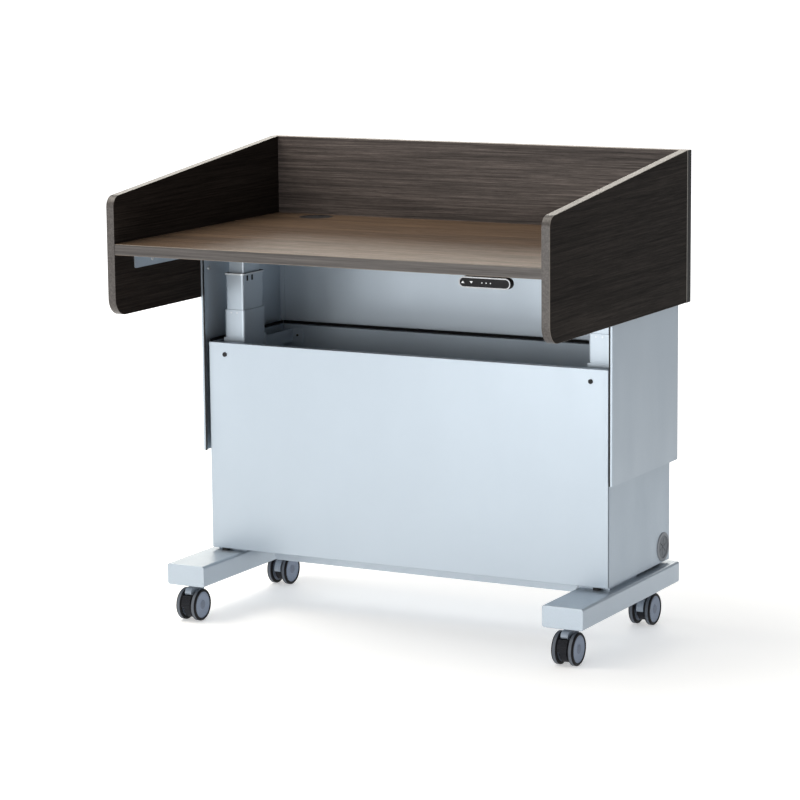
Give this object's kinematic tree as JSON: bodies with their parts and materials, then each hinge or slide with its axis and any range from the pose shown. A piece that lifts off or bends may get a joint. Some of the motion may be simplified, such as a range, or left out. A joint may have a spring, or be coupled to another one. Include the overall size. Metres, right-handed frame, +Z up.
{
  "type": "mobile height-adjustable desk",
  "caption": "Mobile console desk on twin-wheel casters: dark wood worktop with raised back and sides over a telescoping metal cabinet lifted by two motorised columns.",
  "frame": {"origin": "on the floor, under the middle of the desk's outline", "axes": "+Z up, the front edge faces -Y, the handset is on the +X side"},
  "size_m": [1.1, 0.76, 1.097],
  "materials": {
    "laminate": "dark oak laminate with fine straight grain, satin",
    "powder_coat": "silver-grey powder coat, satin",
    "steel": "zinc-plated",
    "black_plastic": "fine moulded texture",
    "black_metal": "black, semi-matte",
    "rubber": "matte",
    "silver_trim": "satin silver",
    "gloss_black": "gloss",
    "caster_grey": "fine moulded texture",
    "caster_black": "fine moulded texture",
    "caster_wheel": "black tyres on grey rims"
  },
  "bodies": {
    "base": {"left_foot": "powder_coat", "right_foot": "powder_coat", "caster_stems": "steel", "lower_front_panel": "powder_coat", "lower_left_panel": "powder_coat", "lower_right_panel": "powder_coat", "lower_rear_panel": "powder_coat", "bottom_tray": "powder_coat", "panel_spacers": "black_plastic", "panel_stays": "powder_coat", "panel_screws": "black_metal", "left_outer_tube": "powder_coat", "right_outer_tube": "powder_coat", "column_bolts": "steel", "gearboxes": "black_metal", "drive_motors": "black_metal", "outer_glides": "black_plastic", "side_grommet_ring": "black_plastic", "side_grommet_diaphragm": "rubber", "power_inlet": "black_plastic", "control_box": "black_plastic"},
    "left_stage": {"left_middle_tube": "powder_coat", "left_middle_collar": "silver_trim"},
    "right_stage": {"right_middle_tube": "powder_coat", "right_middle_collar": "silver_trim"},
    "left_screw": {"left_spindle": "steel"},
    "right_screw": {"right_spindle": "steel"},
    "desktop": {"worktop": "laminate", "left_side_panel": "laminate", "right_side_panel": "laminate", "back_panel": "laminate", "left_shroud": "powder_coat", "right_shroud": "powder_coat", "rear_shroud": "powder_coat", "angle_brackets": "powder_coat", "desktop_screws": "steel", "left_inner_tube": "powder_coat", "right_inner_tube": "powder_coat", "spindle_nuts": "black_plastic", "desk_grommet_ring": "black_plastic", "handset_body": "black_plastic", "handset_bezel": "silver_trim", "handset_face": "gloss_black"},
    "grommet_cap": {"desk_grommet_cap": "black_plastic"},
    "up_key": {"up_button": "gloss_black"},
    "down_key": {"down_button": "gloss_black"},
    "front_left_swivel": {"front_left_fork": "caster_grey", "front_left_hood": "caster_black"},
    "front_left_wheel_pair": {"front_left_wheels": "caster_wheel"},
    "front_left_brake": {"front_left_pedal": "caster_black"},
    "front_right_swivel": {"front_right_fork": "caster_grey", "front_right_hood": "caster_black"},
    "front_right_wheel_pair": {"front_right_wheels": "caster_wheel"},
    "front_right_brake": {"front_right_pedal": "caster_black"},
    "rear_left_swivel": {"rear_left_fork": "caster_grey", "rear_left_hood": "caster_black"},
    "rear_left_wheel_pair": {"rear_left_wheels": "caster_wheel"},
    "rear_right_swivel": {"rear_right_fork": "caster_grey", "rear_right_hood": "caster_black"},
    "rear_right_wheel_pair": {"rear_right_wheels": "caster_wheel"}
  },
  "joints": [
    {"name": "desktop_lift", "type": "slide", "parent": "base", "child": "desktop", "axis": [0, 0, 1], "range_m": [-0.16, 0.235]},
    {"name": "left_stage_lift", "type": "slide", "parent": "base", "child": "left_stage", "axis": [0, 0, 1], "range_m": [-0.08, 0.1175]},
    {"name": "right_stage_lift", "type": "slide", "parent": "base", "child": "right_stage", "axis": [0, 0, 1], "range_m": [-0.08, 0.1175]},
    {"name": "left_screw_turn", "type": "hinge", "parent": "base", "child": "left_screw", "pos_m": [-0.473, 0.089, 0.176], "axis": [0, 0, 1], "range_deg": [-2880, 4230]},
    {"name": "right_screw_turn", "type": "hinge", "parent": "base", "child": "right_screw", "pos_m": [0.473, 0.089, 0.176], "axis": [0, 0, 1], "range_deg": [-2880, 4230]},
    {"name": "grommet_cap_turn", "type": "hinge", "parent": "desktop", "child": "grommet_cap", "pos_m": [-0.396, 0.303, 0.906], "axis": [0, 0, 1], "continuous": true},
    {"name": "up_key_press", "type": "slide", "parent": "desktop", "child": "up_key", "axis": [0, 1, 0], "range_m": [0, 0.0008], "stiffness_N_per_m": 400, "springref_m": -0.0005},
    {"name": "down_key_press", "type": "slide", "parent": "desktop", "child": "down_key", "axis": [0, 1, 0], "range_m": [0, 0.0008], "stiffness_N_per_m": 400, "springref_m": -0.0005},
    {"name": "front_left_caster_swivel", "type": "hinge", "parent": "base", "child": "front_left_swivel", "pos_m": [-0.485, -0.122, 0.08], "axis": [0, 0, 1], "continuous": true},
    {"name": "front_left_wheel_roll", "type": "hinge", "parent": "front_left_swivel", "child": "front_left_wheel_pair", "pos_m": [-0.485, -0.148, 0.0375], "axis": [1, 0, 0], "continuous": true},
    {"name": "front_left_brake_press", "type": "hinge", "parent": "front_left_swivel", "child": "front_left_brake", "pos_m": [-0.485, -0.148, 0.0375], "axis": [1, 0, 0], "range_deg": [0, 12]},
    {"name": "front_right_caster_swivel", "type": "hinge", "parent": "base", "child": "front_right_swivel", "pos_m": [0.485, -0.122, 0.08], "axis": [0, 0, 1], "continuous": true},
    {"name": "front_right_wheel_roll", "type": "hinge", "parent": "front_right_swivel", "child": "front_right_wheel_pair", "pos_m": [0.485, -0.148, 0.0375], "axis": [1, 0, 0], "continuous": true},
    {"name": "front_right_brake_press", "type": "hinge", "parent": "front_right_swivel", "child": "front_right_brake", "pos_m": [0.485, -0.148, 0.0375], "axis": [1, 0, 0], "range_deg": [0, 12]},
    {"name": "rear_left_caster_swivel", "type": "hinge", "parent": "base", "child": "rear_left_swivel", "pos_m": [-0.485, 0.299, 0.08], "axis": [0, 0, 1], "continuous": true},
    {"name": "rear_left_wheel_roll", "type": "hinge", "parent": "rear_left_swivel", "child": "rear_left_wheel_pair", "pos_m": [-0.485, 0.273, 0.0375], "axis": [1, 0, 0], "continuous": true},
    {"name": "rear_right_caster_swivel", "type": "hinge", "parent": "base", "child": "rear_right_swivel", "pos_m": [0.485, 0.299, 0.08], "axis": [0, 0, 1], "continuous": true},
    {"name": "rear_right_wheel_roll", "type": "hinge", "parent": "rear_right_swivel", "child": "rear_right_wheel_pair", "pos_m": [0.485, 0.273, 0.0375], "axis": [1, 0, 0], "continuous": true}
  ],
  "couplings": [
    {"joint": "left_stage_lift", "follows": "desktop_lift", "ratio": 0.5},
    {"joint": "right_stage_lift", "follows": "desktop_lift", "ratio": 0.5},
    {"joint": "left_screw_turn", "follows": "desktop_lift", "rad_per_m": 314.16},
    {"joint": "right_screw_turn", "follows": "desktop_lift", "rad_per_m": 314.16}
  ]
}
